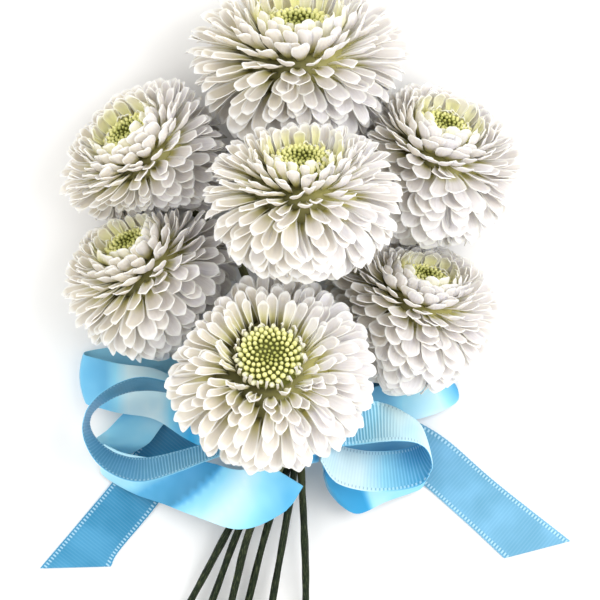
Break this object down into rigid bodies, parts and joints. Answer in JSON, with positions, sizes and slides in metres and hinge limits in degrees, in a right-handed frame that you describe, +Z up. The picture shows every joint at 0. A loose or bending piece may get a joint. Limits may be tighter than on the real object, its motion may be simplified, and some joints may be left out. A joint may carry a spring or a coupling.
{
  "type": "pompon chrysanthemum bouquet",
  "caption": "Lying hand-tied bunch of white pompon chrysanthemums with green stems and a wide blue ribbon bow.",
  "frame": {"origin": "on the surface that the bunch lies on, under the middle of its bounding box", "axes": "+Y from the cut stem ends to the blooms, +X to the right across the bunch as seen from above, +Z up from the surface"},
  "size_m": [0.203, 0.2707, 0.1098],
  "materials": {
    "petal_white": "soft matt petal, white with a green foot",
    "floret_yellow_green": "soft matt yellow-green floret",
    "stem_green": "matt ridged dark green stem",
    "ribbon_blue": "light blue ribbon, satin on one side and ribbed on the other"
  },
  "bodies": {
    "root": {"petals_top": "petal_white", "disc_top": "floret_yellow_green", "stem_top": "stem_green", "petals_upper_left": "petal_white", "disc_upper_left": "floret_yellow_green", "stem_upper_left": "stem_green", "petals_centre": "petal_white", "disc_centre": "floret_yellow_green", "stem_centre": "stem_green", "petals_lower_left": "petal_white", "disc_lower_left": "floret_yellow_green", "stem_lower_left": "stem_green", "petals_front": "petal_white", "disc_front": "floret_yellow_green", "stem_front": "stem_green", "petals_lower_right": "petal_white", "disc_lower_right": "floret_yellow_green", "stem_lower_right": "stem_green", "petals_upper_right": "petal_white", "disc_upper_right": "floret_yellow_green", "stem_upper_right": "stem_green", "ribbon_knot": "ribbon_blue", "ribbon_loop_left_front": "ribbon_blue", "ribbon_loop_left_back": "ribbon_blue", "ribbon_loop_left_low": "ribbon_blue", "ribbon_loop_right_front": "ribbon_blue", "ribbon_loop_right_low": "ribbon_blue", "ribbon_loop_right_back": "ribbon_blue", "ribbon_tail_left": "ribbon_blue", "ribbon_tail_right": "ribbon_blue"}
  },
  "joints": []
}
